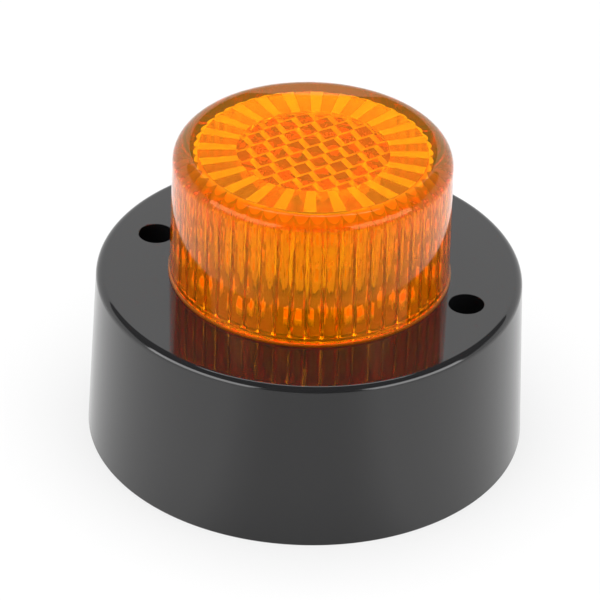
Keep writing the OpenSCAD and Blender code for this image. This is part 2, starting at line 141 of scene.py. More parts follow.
@dataclass(frozen=True)
class MouldedAbs:
    """Black ABS, injection moulded: the deck has the tool's polish, the wall below its rim a fine satin."""

    name: str
    polish_from: float = 0.0
    polish_over: float = 1.2 * MM
    deck_gloss: float = 0.05
    wall_gloss: float = 0.16
    flow: float = 12.5 * MM
    flow_swing: float = 0.03
    colour: str = "0a0a0b"
    ior: float = 1.59

    def build(self) -> bpy.types.Material:
        """Builds the material.

        Returns:
            The material.
        """
        material, place = bare_material(self.name)
        # the polish of the deck fades into the satin of the wall over the rounded rim
        split = add_node(material, "ShaderNodeSeparateXYZ", links={0: place})
        polish = add_node(material, "ShaderNodeMapRange", {
            "From Min": self.polish_from - self.polish_over, "From Max": self.polish_from,
            "To Min": self.wall_gloss, "To Max": self.deck_gloss}, {"Value": split.outputs["Z"]})
        # the flow marks of the melt vary the gloss a little
        flow = add_node(material, "ShaderNodeTexNoise", {"Scale": 1 / self.flow, "Detail": 3.0},
                        {"Vector": place})
        swing = add_node(material, "ShaderNodeMath", {
            "operation": "MULTIPLY_ADD", 1: self.flow_swing, 2: -self.flow_swing / 2},
            {0: flow.outputs["Fac"]})
        gloss = add_node(material, "ShaderNodeMath", {"operation": "ADD", "use_clamp": True},
                         {0: polish.outputs["Result"], 1: swing.outputs["Value"]})
        shader = add_node(material, "ShaderNodeBsdfPrincipled",
                          {"Base Color": linear(self.colour), "IOR": self.ior},
                          {"Roughness": gloss.outputs["Value"]})
        add_node(material, "ShaderNodeOutputMaterial", links={"Surface": shader.outputs["BSDF"]})
        return material


@dataclass(frozen=True)
class AmberPolycarbonate:
    """Clear amber polycarbonate, as one part of its tool leaves it, or with light painted into its haze.

    The amber lies in the depth of the material. A hazy shader is mixed into the clear one: a little of it
    everywhere, and more and paler in the inner corner under the shoulder, as painted light that brightens
    the shoulder. The inner wall has the upright sink marks of its flutes.
    """

    name: str
    haze_and_light: float = 0.06
    haze_and_light_colour: str = "ffb004"
    roughness: float = 0.0
    mirror_tint: str = "ffa040"
    clear_tint: str = "fff4e0"
    depth_colour: str = "fff200"
    density: float = 800.0
    ior: float = 1.585
    # the inner wall lies within inner_r and ends at inner_top, and roof is just below the top's underside
    inner_r: float = 27.6 * MM
    inner_top: float = 70 * MM
    roof: float = 71.2 * MM
    # the inner corner under the shoulder gets more haze in a paler colour: painted light
    corner_light_share: float = 0.4
    painted_corner_light: str = "ffe030"
    corner_from: float = 23 * MM
    corner_fade: float = 2 * MM
    corner_h: float = 5 * MM
    marks_per_mm: float = 0.65
    mark_depth: float = 0.35 * MM
    mark_stretch: float = 10.0
    mark_fade: float = 1 * MM

    def build(self) -> bpy.types.Material:
        """Builds the material.

        Returns:
            The material.
        """
        material, place = bare_material(self.name)
        reach, height = self.measures(material, place)
        corner = self.corner(material, reach, height)
        marks = self.marks(material, place, reach, height)
        bump = add_node(material, "ShaderNodeBump", {"Distance": self.mark_depth, "Strength": 1.0},
                        {"Height": marks})
        # the hazy shader turns paler in the inner corner under the shoulder: painted light
        # sockets 6 and 7 of a colour mix are its two colours, and its output 2 is the mixed one
        haze_and_corner_light = add_node(material, "ShaderNodeMix", {
            "data_type": "RGBA", 6: linear(self.haze_and_light_colour), 7: linear(self.painted_corner_light)}, {0: corner})
        haze_and_light_share = add_node(material, "ShaderNodeMapRange", {
            "To Min": self.haze_and_light, "To Max": max(self.haze_and_light, self.corner_light_share)}, {"Value": corner})
        surface = {"Roughness": self.roughness, "IOR": self.ior, "Specular Tint": linear(self.mirror_tint)}
        clear = add_node(material, "ShaderNodeBsdfPrincipled", {
            **surface, "Base Color": linear(self.clear_tint), "Transmission Weight": 1.0},
            {"Normal": bump.outputs["Normal"]})
        hazy_and_painted_light = add_node(material, "ShaderNodeBsdfPrincipled", surface,
                        {"Base Color": haze_and_corner_light.outputs[2], "Normal": bump.outputs["Normal"]})
        both = add_node(material, "ShaderNodeMixShader", links={
            0: haze_and_light_share.outputs["Result"], 1: clear.outputs["BSDF"], 2: hazy_and_painted_light.outputs["BSDF"]})
        depth = add_node(material, "ShaderNodeVolumeAbsorption",
                         {"Color": linear(self.depth_colour), "Density": self.density})
        add_node(material, "ShaderNodeOutputMaterial",
                 links={"Surface": both.outputs[0], "Volume": depth.outputs[0]})
        return material

    def measures(self, material: bpy.types.Material,
                 place: bpy.types.NodeSocket) -> tuple[bpy.types.NodeSocket, bpy.types.NodeSocket]:
        """Measures how far each point lies from the Z axis, and how high.

        Args:
            material: the material.
            place: its Object coordinates.

        Returns:
            The distance from the axis and the height.
        """
        level = add_node(material, "ShaderNodeVectorMath",
                         {"operation": "MULTIPLY", 1: (1.0, 1.0, 0.0)}, {0: place})
        reach = add_node(material, "ShaderNodeVectorMath", {"operation": "LENGTH"},
                         {0: level.outputs["Vector"]})
        split = add_node(material, "ShaderNodeSeparateXYZ", links={0: place})
        return reach.outputs["Value"], split.outputs["Z"]

    def corner(self, material: bpy.types.Material, reach: bpy.types.NodeSocket,
               height: bpy.types.NodeSocket) -> bpy.types.NodeSocket:
        """Finds the inner corner under the shoulder, where light is painted in.

        Args:
            material: the material.
            reach: the distance from the axis.
            height: the height.

        Returns:
            How far a point belongs to the corner, from 0 to 1.
        """
        high = add_node(material, "ShaderNodeMapRange", {
            "From Min": self.inner_top - self.corner_h, "From Max": self.inner_top}, {"Value": height})
        wide = add_node(material, "ShaderNodeMapRange", {
            "From Min": self.corner_from, "From Max": self.corner_from + self.corner_fade},
            {"Value": reach})
        inside = add_node(material, "ShaderNodeMath", {"operation": "LESS_THAN", 1: self.inner_r}, {0: reach})
        under = add_node(material, "ShaderNodeMath", {"operation": "LESS_THAN", 1: self.roof}, {0: height})
        corner = high.outputs[0]
        for part in (wide, inside, under):
            corner = add_node(material, "ShaderNodeMath", {"operation": "MULTIPLY"},
                              {0: corner, 1: part.outputs[0]}).outputs[0]
        return corner

    def marks(self, material: bpy.types.Material, place: bpy.types.NodeSocket,
              reach: bpy.types.NodeSocket, height: bpy.types.NodeSocket) -> bpy.types.NodeSocket:
        """Makes the sink marks of the inner wall, which run upright and end at its edges.

        Args:
            material: the material.
            place: its Object coordinates.
            reach: the distance from the axis.
            height: the height.

        Returns:
            The height of the marks, from 0 to 1.
        """
        drawn = add_node(material, "ShaderNodeVectorMath",
                         {"operation": "MULTIPLY", 1: (1.0, 1.0, 1 / self.mark_stretch)}, {0: place})
        noise = add_node(material, "ShaderNodeTexNoise", {"Scale": self.marks_per_mm / MM, "Detail": 2.0},
                         {"Vector": drawn.outputs["Vector"]})
        inside = add_node(material, "ShaderNodeMath", {"operation": "LESS_THAN", 1: self.inner_r}, {0: reach})
        below = add_node(material, "ShaderNodeMapRange", {
            "From Min": self.inner_top - self.mark_fade, "From Max": self.inner_top,
            "To Min": 1.0, "To Max": 0.0}, {"Value": height})
        where = add_node(material, "ShaderNodeMath", {"operation": "MULTIPLY"},
                         {0: inside.outputs[0], 1: below.outputs["Result"]})
        marks = add_node(material, "ShaderNodeMath", {"operation": "MULTIPLY"},
                         {0: where.outputs[0], 1: noise.outputs["Fac"]})
        return marks.outputs[0]


@dataclass(frozen=True)
class PlainFinish:
    """A finish of one colour with a fine grain: its shade, gloss and height vary over the grain."""

    name: str
    colour: str
    shade: str
    roughness: float
    grain: float
    metallic: float = 0.0
    depth: float = 0.01 * MM
    gloss_swing: float = 0.05
    relief: float = 0.5

    def build(self) -> bpy.types.Material:
        """Builds the material.

        Returns:
            The material.
        """
        material, place = bare_material(self.name)
        grain = add_node(material, "ShaderNodeTexNoise", {"Scale": 1 / self.grain, "Detail": 4.0},
                         {"Vector": place})
        # sockets 6 and 7 of a colour mix are its two colours, and its output 2 is the mixed one
        tint = add_node(material, "ShaderNodeMix", {
            "data_type": "RGBA", 6: linear(self.colour), 7: linear(self.shade)}, {0: grain.outputs["Fac"]})
        gloss = add_node(material, "ShaderNodeMapRange", {
            "To Min": self.roughness - self.gloss_swing, "To Max": self.roughness + self.gloss_swing},
            {"Value": grain.outputs["Fac"]})
        bump = add_node(material, "ShaderNodeBump", {"Distance": self.depth, "Strength": self.relief},
                        {"Height": grain.outputs["Fac"]})
        shader = add_node(material, "ShaderNodeBsdfPrincipled", {"Metallic": self.metallic}, {
            "Base Color": tint.outputs[2], "Roughness": gloss.outputs["Result"],
            "Normal": bump.outputs["Normal"]})
        add_node(material, "ShaderNodeOutputMaterial", links={"Surface": shader.outputs["BSDF"]})
        return material


class BaseFinish(Enum):
    """The finishes of the black mouldings."""

    # near black: the deck mirrors almost like glass, and the wall has a soft, even sheen
    HOUSING = MouldedAbs("black moulded ABS", polish_from=highest("base_housing")[2] - 0.1 * MM)
    # the same plastic from a plainer tool, with an even, dull sheen
    PLATE = MouldedAbs("black moulded ABS plate", deck_gloss=0.3, wall_gloss=0.3)


class LensFinish(Enum):
    """The finishes of the amber lens, each on its own part of it; some of them carry painted light."""

    # clear and glossy, so that the eye goes through it to the flutes and the lamps
    POLISHED = AmberPolycarbonate("amber polycarbonate")
    # as clear, with a paler shine: the rounded shoulder draws a light rim round the top
    FLAME_POLISHED = AmberPolycarbonate("flame-polished amber polycarbonate", mirror_tint="ffc080")
    # dull and a little browner: the parting line shows as a dim band at the foot
    MATT = AmberPolycarbonate("matt amber polycarbonate", 0.1, "ff9004", 0.3)
    # a soft, deep orange between the channels, with no sharp reflections in it
    SATIN = AmberPolycarbonate("satin amber polycarbonate", 0.08, "ffd808", 0.2)
    # bright orange with a blurred view through: the darker third of the prism facets
    LAPPED = AmberPolycarbonate("lapped amber polycarbonate", 0.17, "ffd010", 0.05)
    # pale yellow orange and even: painted light that makes the channels stand out as light spokes
    PAINTED_CHANNEL_LIGHT = AmberPolycarbonate("amber polycarbonate with painted channel light", 0.3, "fff010", 0.3)
    # the palest and least clear: painted light on the prism facets that catch the light
    PAINTED_FACET_LIGHT = AmberPolycarbonate("amber polycarbonate with painted facet light", 0.5, "fffa38", 0.4)


class Stock(Enum):
    """The plain finishes of the pieces inside and under the light."""

    # charcoal with no shine at all, pitted by the open cells of its surface
    FOAM = PlainFinish("closed-cell foam", "1c1c1d", "111112", 0.85, 0.6 * MM, depth=0.15 * MM)
    # near black with a dry, dull sheen
    RUBBER = PlainFinish("moulded rubber", "101011", "161617", 0.6, 0.4 * MM)
    # bright grey metal with soft highlights
    ZINC = PlainFinish("zinc-plated steel", "c9cacc", "b4b3ae", 0.3, 0.5 * MM, metallic=1.0)
    # deep green under a thin gloss
    GREEN_BOARD = PlainFinish("green solder mask", "0e5a34", "0b4a2b", 0.3, 1.5 * MM)
    # clean white, a little glossy
    WHITE_BOARD = PlainFinish("white solder mask", "f4f4f0", "eeeee8", 0.35, 1.5 * MM)
    # flat mid grey, which keeps the foot of the lens dark
    METAL_BOARD = PlainFinish("bare metal-core board", "90908c", "888884", 0.35, 1.5 * MM)
    # milky white with a soft sheen
    WHITE_TRAY = PlainFinish("white moulded polycarbonate", "f2f2ee", "ececea", 0.45, 0.8 * MM)
    # strong green, slightly waxy
    TERMINAL = PlainFinish("green moulded polyamide", "2f8a4a", "2a7d43", 0.5, 0.6 * MM)
    # dark blue film with a thin shine
    SLEEVE = PlainFinish("capacitor shrink sleeve", "232a55", "1f254b", 0.3, 0.8 * MM)
    # dull charcoal, gritty like slate
    FERRITE = PlainFinish("sintered ferrite", "2d2d30", "232326", 0.75, 0.3 * MM, depth=0.04 * MM)
    # matt black with a fine grain
    EPOXY = PlainFinish("black moulding epoxy", "161617", "1d1d1e", 0.55, 0.25 * MM)
    # plain red with a smooth, soft shine
    INSULATION = PlainFinish("red lead insulation", "b3201b", "a51b17", 0.35, 0.6 * MM)
    # pale silver with a satin that blurs what it mirrors
    ALUMINIUM = PlainFinish("drawn aluminium", "d4d5d8", "c4c5c9", 0.28, 0.3 * MM, metallic=1.0)
    # warm yellow and glassy, the colour of a lamp that is off
    PHOSPHOR = PlainFinish("silicone over phosphor", "f5d57a", "f0cc66", 0.3, 0.5 * MM)
    # clean white, a little waxy
    LED_CASE = PlainFinish("white lamp casing", "f3f3ee", "ebebe6", 0.4, 0.5 * MM)
    # bright silver with a faint warm cast
    TINNED = PlainFinish("tinned copper", "d6d6d2", "c6c6c1", 0.3, 0.3 * MM, metallic=1.0)


Finish = BaseFinish | LensFinish | Stock


class Paintshop:
    """Builds each finish once and hands the same material out again."""

    def __init__(self) -> None:
        """Starts with no material built."""
        self.made: dict[Finish, bpy.types.Material] = {}

    def get(self, finish: Finish) -> bpy.types.Material:
        """Gives the material for a finish.

        Args:
            finish: the finish.

        Returns:
            The material, built the first time it is asked for.
        """
        if finish not in self.made:
            self.made[finish] = finish.value.build()
        return self.made[finish]


# --------------------------------------------------------------------------- bench work on meshes


class Cut(Enum):
    """What a boolean does with the tool."""

    TAKE = "DIFFERENCE"
    ADD = "UNION"
    KEEP = "INTERSECT"


class Pick(Enum):
    """What a selection is made of."""

    POINTS = "VERT"
    EDGES = "EDGE"
    FACES = "FACE"


class Workpiece:
    """One mesh on the bench, with the operations that shape it."""

    def __init__(self, thing: bpy.types.Object, name: str) -> None:
        """Takes the object on and names it.

        Args:
            thing: the object.
            name: its new name.
        """
        self.thing = thing
        self.thing.name = name
        self.thing.data.name = name
        self.settle()

    @staticmethod
    def clear() -> None:
        """Leaves nothing selected."""
        bpy.ops.object.select_all(action="DESELECT")

    @classmethod
    def cylinder(cls, name: str, radius: float, bottom: float, top: float, sides: int = 96,
                 at: tuple[float, float] = (0.0, 0.0), top_radius: float | None = None) -> Workpiece:
        """Starts a piece from an upright cylinder, or from a cone frustum.

        Args:
            name: the piece's name.
            radius: its radius at the bottom.
            bottom: the height of its lower face.
            top: the height of its upper face.
            sides: the number of its sides.
            at: where its axis stands.
            top_radius: its radius at the top, where that differs.

        Returns:
            The new workpiece.
        """
        cls.clear()
        bpy.ops.mesh.primitive_cone_add(
            vertices=sides, radius1=radius, radius2=radius if top_radius is None else top_radius,
            depth=top - bottom, location=(at[0], at[1], (top + bottom) / 2))
        return cls(bpy.context.object, name)

    @classmethod
    def block(cls, name: str, low: Iterable[float], high: Iterable[float]) -> Workpiece:
        """Starts a piece from a block.

        Args:
            name: the piece's name.
            low: its lowest corner.
            high: its highest corner.

        Returns:
            The new workpiece.
        """
        a, b = Vector(low), Vector(high)
        cls.clear()
        bpy.ops.mesh.primitive_cube_add(size=1, location=(a + b) / 2, scale=b - a)
        return cls(bpy.context.object, name)

    def activate(self) -> None:
        """Makes this the only selected and active object."""
        self.clear()
        self.thing.select_set(True)
        bpy.context.view_layer.objects.active = self.thing

    def settle(self) -> None:
        """Moves the object's place into its mesh."""
        self.activate()
        bpy.ops.object.transform_apply(location=True, rotation=True, scale=True)

    def edit(self, *steps: Callable[[], object]) -> Workpiece:
        """Runs operators in edit mode on what is selected.

        Args:
            steps: calls that each run one operator.

        Returns:
            This workpiece.
        """
        self.activate()
        bpy.ops.object.mode_set(mode="EDIT")
        for step in steps:
            step()
        bpy.ops.object.mode_set(mode="OBJECT")
        return self

    def pick_faces(self, test: FaceTest) -> Workpiece:
        """Selects the faces that pass a test, and nothing else.

        Args:
            test: is given each face's centre and normal.

        Returns:
            This workpiece.
        """
        self.pick_nothing(Pick.FACES)
        for face in self.thing.data.polygons:
            face.select = test(face.center, face.normal)
        return self

    def pick_edges(self, test: EdgeTest) -> Workpiece:
        """Selects the edges that pass a test, and nothing else.

        Args:
            test: is given the places of each edge's two ends.

        Returns:
            This workpiece.
        """
        self.pick_nothing(Pick.EDGES)
        mesh = self.thing.data
        for edge in mesh.edges:
            a, b = (mesh.vertices[i].co for i in edge.vertices)
            edge.select = test(a, b)
        return self

    def pick_nothing(self, kind: Pick) -> None:
        """Clears the mesh's selection and sets what is picked next.

        Args:
            kind: points, edges or faces.
        """
        self.activate()
        bpy.ops.object.mode_set(mode="EDIT")
        bpy.ops.mesh.select_mode(type=kind.value)
        bpy.ops.mesh.select_all(action="DESELECT")
        bpy.ops.object.mode_set(mode="OBJECT")

    def bevel(self, width: float, segments: int) -> Workpiece:
        """Rounds the selected edges.

        Args:
            width: the radius of the round.
            segments: the number of its steps.

        Returns:
            This workpiece.
        """
        return self.edit(lambda: bpy.ops.mesh.bevel(
            offset=width, offset_type="OFFSET", segments=segments, profile=0.5, affect="EDGES",
            clamp_overlap=False))

    def inset(self, width: float) -> Workpiece:
        """Insets the selected faces as one region."""
        return self.edit(lambda: bpy.ops.mesh.inset(thickness=width))

    def extrude(self, rise: float) -> Workpiece:
        """Extrudes the selected faces straight up, or down where rise is negative."""
        return self.edit(lambda: bpy.ops.mesh.extrude_region_move(
            TRANSFORM_OT_translate={"value": (0, 0, rise)}))

    def widen(self, ratio: float) -> Workpiece:
        """Scales what is selected about the Z axis by ratio."""
        return self.edit(lambda: bpy.ops.transform.resize(
            value=(ratio, ratio, 1), center_override=(0, 0, 0)))

    def modify(self, kind: str, **settings: object) -> Workpiece:
        """Adds a modifier and applies it.

        Args:
            kind: the modifier's type.
            settings: its settings.

        Returns:
            This workpiece.
        """
        self.activate()
        modifier = self.thing.modifiers.new(kind.lower(), kind)
        for key, value in settings.items():
            setattr(modifier, key, value)
        bpy.ops.object.modifier_apply(modifier=modifier.name)
        return self

    def cut(self, tool: Workpiece, how: Cut = Cut.TAKE) -> Workpiece:
        """Cuts this piece with a tool, joins the tool to it, or keeps what both share.

        Args:
            tool: the other workpiece, which is used up.
            how: what to do with it.

        Returns:
            This workpiece.
        """
        self.modify("BOOLEAN", object=tool.thing, operation=how.value, solver="EXACT")
        tool.scrap()
        return self

    def copies(self, places: Iterable[Matrix]) -> Workpiece:
        """Puts a copy of the piece at each place, as one object.

        Args:
            places: the matrix that moves each copy to its place.

        Returns:
            This workpiece, now holding all of them.
        """
        twins = []
        for place in places:
            twin = self.thing.copy()
            twin.data = self.thing.data.copy()
            twin.data.transform(place)
            bpy.context.collection.objects.link(twin)
            twins.append(twin)
        name = self.thing.name
        self.scrap()
        self.clear()
        for twin in twins:
            twin.select_set(True)
        bpy.context.view_layer.objects.active = twins[0]
        bpy.ops.object.join()
        self.thing = bpy.context.object
        self.thing.name = self.thing.data.name = name
        return self

    def copies_round(self, count: int, start: float = 0.0) -> Workpiece:
        """Repeats the piece count times round the Z axis, the first turned by start degrees."""
        return self.copies(turned(k * 360 / count + start) for k in range(count))

    def move(self, change: Matrix) -> Workpiece:
        """Moves the mesh by a matrix."""
        self.thing.data.transform(change)
        return self

    def scrap(self) -> None:
        """Deletes the object and its mesh."""
        mesh = self.thing.data
        bpy.data.objects.remove(self.thing)
        bpy.data.meshes.remove(mesh)

    def smooth(self, angle: float) -> Workpiece:
        """Shades the piece smooth, apart from its sharp edges.

        Args:
            angle: the bend in degrees above which an edge is sharp.

        Returns:
            This workpiece.
        """
        self.activate()
        bpy.ops.object.shade_smooth_by_angle(angle=math.radians(angle))
        return self.modify("WEIGHTED_NORMAL", keep_sharp=True, weight=100)

    def weld(self) -> Workpiece:
        """Merges doubles and turns every normal outwards.

        Returns:
            This workpiece.
        """
        self.pick_nothing(Pick.POINTS)
        return self.edit(
            lambda: bpy.ops.mesh.select_all(action="SELECT"),
            lambda: bpy.ops.mesh.remove_doubles(threshold=WELD),
            lambda: bpy.ops.mesh.normals_make_consistent(inside=False))

    def coat(self, material: bpy.types.Material) -> Workpiece:
        """Gives every face one finish.

        Args:
            material: the finish.

        Returns:
            This workpiece.
        """
        self.thing.data.materials.clear()
        self.thing.data.materials.append(material)
        return self

    def also(self, material: bpy.types.Material, test: FaceTest) -> Workpiece:
        """Gives some faces a finish of their own, once the piece has its first.

        Args:
            material: the second finish.
            test: is given each face's centre and normal.

        Returns:
            This workpiece.
        """
        self.thing.data.materials.append(material)
        self.pick_faces(test)
        self.thing.active_material_index = len(self.thing.data.materials) - 1
        return self.edit(lambda: bpy.ops.object.material_slot_assign())

    def deliver(self, body: str, slot: str, *nodes: str) -> None:
        """Hands the finished piece over to the frame.

        Args:
            body: the body that it rides on.
            slot: the record's material slot; not used.
            nodes: the CAD nodes that it stands for.
        """
        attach(self.thing, body)
        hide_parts(*nodes)
        LOG.info("%s: %d faces, on %s", self.thing.name, len(self.thing.data.polygons), body)


def turned(angle: float) -> Matrix:
    """Gives the matrix that turns things round the Z axis by angle, in degrees."""
    return Matrix.Rotation(math.radians(angle), 4, "Z")


def centres(count: int, radius: float, start: float = 0.0) -> list[tuple[float, float]]:
    """Gives the x, y places of count points spaced round the Z axis, the first at start degrees."""
    turns = [math.radians(start) + k * math.tau / count for k in range(count)]
    return [(radius * math.cos(a), radius * math.sin(a)) for a in turns]


# --------------------------------------------------------------------------- studio


@dataclass(frozen=True)
class Softbox:
    """A soft light that faces the object.

    Its bearing is in degrees, clockwise from straight behind the object, its rise is its elevation, and
    its radiance says how bright its face is, where 1 is white.
    """

    name: str
    bearing: float
    rise: float
    width: float
    depth: float
    radiance: float
    mirrored: bool = True
    reach: float = 1.2


@dataclass
class Studio:
    """The pale floor, the surround, the soft lights and the camera."""

    floor_r: float = 6.0
    floor_sink: float = 0.02 * MM
    floor_glow: float = 0.66
    floor_paint: float = 0.8
    floor_paint_seen: float = 0.1
    # what mirrors see of the floor: the dip reaches dip_half degrees to each side of straight ahead, and
    # the lift begins at lift_from degrees
    front_dip: float = -0.3
    side_lift: float = 0.2
    dip_half: float = 8.0
    lift_from: float = 34.0
    # the room's brightness, and the elevations in degrees at which the white surround ends: one behind the
    # object from back_from on, the other in front of it up to front_to, with a slope between them
    room: float = 0.2
    back_edge: float = 27.0
    front_edge: float = 10.0
    front_to: float = -0.4
    back_from: float = 0.3
    edge_blur: float = 0.03
    # three cards that stand side by side behind the object, the middle one lower
    card_glow: float = 1.08
    card_at: float = 250 * MM
    card_gap: float = 80 * MM
    card_w: float = 600 * MM
    card_low: float = 208 * MM
    card_high: float = 265 * MM
    softboxes: tuple[Softbox, ...] = (
        Softbox("left_softbox", -124, 25, 1.3, 0.5, 4.0),
        Softbox("right_softbox", 122, 25, 1.1, 0.5, 4.0),
        Softbox("back_softbox", 0, 69, 0.7, 0.12, 5.0),
        Softbox("top_softbox", 0, 88, 2.4, 2.4, 5.6, mirrored=False),
    )
    # the camera, with its angles in degrees, and its focal length and sensor in millimetres
    azimuth: float = 19.6
    elevation: float = 33.41
    roll: float = 1.87
    distance: float = 946 * MM
    aim_across: float = -1.93 * MM
    aim_height: float = 32.6 * MM
    focal_length: float = 245.46
    sensor: float = 36.0
    nearest: float = 0.01
    farthest: float = 100.0
    across: Vector = field(init=False)
    away: Vector = field(init=False)

    def __post_init__(self) -> None:
        """Works out the camera's level axes."""
        turn = math.radians(self.azimuth)
        self.across = Vector((math.cos(turn), math.sin(turn), 0))
        self.away = Vector((-math.sin(turn), math.cos(turn), 0))

    def build(self) -> None:
        """Builds the studio."""
        self.floor()
        light = self.card_light()
        aside = (self.card_gap + self.card_w) / 2
        self.card("card_left", light, -aside, self.card_w, self.card_high)
        self.card("card_middle", light, 0, self.card_gap, self.card_low)
        self.card("card_right", light, aside, self.card_w, self.card_high)
        self.surround()
        for box in self.softboxes:
            self.hang(box)
        self.camera()

    def floor(self) -> None:
        """Lays the plain pale floor, which shows as white and keeps the object's shadow."""
        Workpiece.clear()
        bpy.ops.mesh.primitive_circle_add(vertices=96, radius=self.floor_r, fill_type="NGON",
                                          location=(0, 0, -self.floor_sink))
        slab = bpy.context.object
        slab.name = "studio_floor"
        slab.data.materials.append(self.floor_board())

    def floor_board(self) -> bpy.types.Material:
        """Paints the floor's board.

        The camera, mirrors and lenses see it as white. Mirrors see it dimmer straight in front of the
        object and brighter to the sides.

        Returns:
            The material.
        """
        material, place = bare_material("painted white board")
        path = add_node(material, "ShaderNodeLightPath")
        seen = add_node(material, "ShaderNodeMath", {"operation": "ADD"},
                        {0: path.outputs["Is Camera Ray"], 1: path.outputs["Is Glossy Ray"]})
        shown = add_node(material, "ShaderNodeMath", {"operation": "ADD", "use_clamp": True},
                         {0: seen.outputs[0], 1: path.outputs["Is Transmission Ray"]})
        lit = add_node(material, "ShaderNodeMath", {"operation": "MULTIPLY", 1: self.floor_glow},
                       {0: shown.outputs[0]})
        way = add_node(material, "ShaderNodeVectorMath", {"operation": "NORMALIZE"}, {0: place})
        ahead = add_node(material, "ShaderNodeVectorMath", {"operation": "DOT_PRODUCT", 1: -self.away},
                         {0: way.outputs["Vector"]})
        side, front = (math.cos(math.radians(a)) for a in (self.lift_from, self.dip_half))
        change = add_node(material, "ShaderNodeMapRange", {
            "interpolation_type": "SMOOTHSTEP", "From Min": side, "From Max": front,
            "To Min": self.side_lift, "To Max": self.front_dip}, {"Value": ahead.outputs["Value"]})
        level = add_node(material, "ShaderNodeMath", {"operation": "MULTIPLY_ADD", 2: 1.0},
                         {0: change.outputs["Result"], 1: path.outputs["Is Glossy Ray"]})
        glow = add_node(material, "ShaderNodeMath", {"operation": "MULTIPLY"},
                        {0: lit.outputs[0], 1: level.outputs[0]})
        light = add_node(material, "ShaderNodeEmission", links={"Strength": glow.outputs[0]})
        paint = add_node(material, "ShaderNodeMapRange", {
            "To Min": self.floor_paint, "To Max": self.floor_paint_seen}, {"Value": shown.outputs[0]})
        board = add_node(material, "ShaderNodeBsdfDiffuse", links={"Color": paint.outputs["Result"]})
        both = add_node(material, "ShaderNodeAddShader", links={0: light.outputs[0], 1: board.outputs[0]})
        add_node(material, "ShaderNodeOutputMaterial", links={"Surface": both.outputs[0]})
        return material

    def card_light(self) -> bpy.types.Material:
        """Makes the glow of the cards.

        Returns:
            The material.
        """
        material, _ = bare_material("lit white card")
        light = add_node(material, "ShaderNodeEmission", {"Strength": self.card_glow})
        add_node(material, "ShaderNodeOutputMaterial", links={"Surface": light.outputs[0]})
        return material

    def card(self, name: str, light: bpy.types.Material, aside: float, width: float,
             height: float) -> None:
        """Stands a lit white card behind the object, which only mirrors and lenses see.

        The deck mirrors the tall cards. The lens is higher and mirrors the dim room over the low one.

        Args:
            name: the card's name.
            light: its glow.
            aside: how far right of the middle it stands.
            width: its width.
            height: its height.
        """
        Workpiece.clear()
        bpy.ops.mesh.primitive_plane_add(
            size=1, rotation=(math.pi / 2, 0, math.radians(self.azimuth)),
            location=self.away * self.card_at + self.across * aside + Vector((0, 0, height / 2)))
        bpy.context.object.scale = (width, height, 1)
        sheet = Workpiece(bpy.context.object, name).thing
        sheet.data.materials.append(light)
        sheet.visible_camera = sheet.visible_shadow = sheet.visible_diffuse = False

    def surround(self) -> None:
        """Surrounds the object with white up to an edge, above which the room is dim.

        The edge is high behind the object and low in front of it.
        """
        world = bpy.data.worlds.new("studio")
        bpy.context.scene.world = world
        world.use_nodes = True
        world.node_tree.nodes.clear()
        way = add_node(world, "ShaderNodeTexCoord").outputs["Generated"]
        split = add_node(world, "ShaderNodeSeparateXYZ", links={0: way})
        depth = add_node(world, "ShaderNodeVectorMath", {"operation": "DOT_PRODUCT", 1: self.away}, {0: way})
        back, front = (math.sin(math.radians(a)) for a in (self.back_edge, self.front_edge))
        edge = add_node(world, "ShaderNodeMapRange", {
            "From Min": self.front_to, "From Max": self.back_from, "To Min": front, "To Max": back},
            {"Value": depth.outputs["Value"]})
        above = add_node(world, "ShaderNodeMath", {"operation": "SUBTRACT"},
                         {0: split.outputs["Z"], 1: edge.outputs["Result"]})
        level = add_node(world, "ShaderNodeMapRange", {
            "From Min": -self.edge_blur, "From Max": self.edge_blur, "To Min": 1.0, "To Max": self.room},
            {"Value": above.outputs[0]})
        light = add_node(world, "ShaderNodeBackground", {"Color": linear("ffffff")},
                         {"Strength": level.outputs["Result"]})
        add_node(world, "ShaderNodeOutputWorld", links={"Surface": light.outputs[0]})

    def hang(self, box: Softbox) -> None:
        """Hangs a soft light.

        Args:
            box: the light.
        """
        turn, rise = math.radians(box.bearing), math.radians(box.rise)
        way = (self.away * math.cos(turn) + self.across * math.sin(turn)) * math.cos(rise)
        way.z = math.sin(rise)
        lamp = bpy.data.lights.new(box.name, "AREA")
        lamp.shape = "RECTANGLE"
        lamp.size, lamp.size_y = box.width, box.depth
        lamp.energy = box.radiance * math.pi * box.width * box.depth
        stand = bpy.data.objects.new(box.name, lamp)
        stand.location = way * box.reach
        stand.rotation_euler = way.to_track_quat("Z", "Y").to_euler()
        stand.visible_camera = False
        stand.visible_glossy = box.mirrored
        bpy.context.collection.objects.link(stand)

    def camera(self) -> None:
        """Sets up the camera, which looks down at the light from the front."""
        tilt, lean = math.radians(self.elevation), math.radians(self.roll)
        forward = self.away * math.cos(tilt) - Vector((0, 0, math.sin(tilt)))
        level_up = self.across.cross(forward)
        right = self.across * math.cos(lean) + level_up * math.sin(lean)
        up = right.cross(forward)
        aim = self.across * self.aim_across + Vector((0, 0, self.aim_height))
        lens = bpy.data.cameras.new("camera")
        lens.lens = self.focal_length
        lens.sensor_width = self.sensor
        lens.clip_start, lens.clip_end = self.nearest, self.farthest
        stand = bpy.data.objects.new("camera", lens)
        frame_axes = Matrix((right, up, -forward)).transposed().to_4x4()
        stand.matrix_world = Matrix.Translation(aim - forward * self.distance) @ frame_axes
        bpy.context.collection.objects.link(stand)
        bpy.context.scene.camera = stand


# --------------------------------------------------------------------------- sub-assemblies


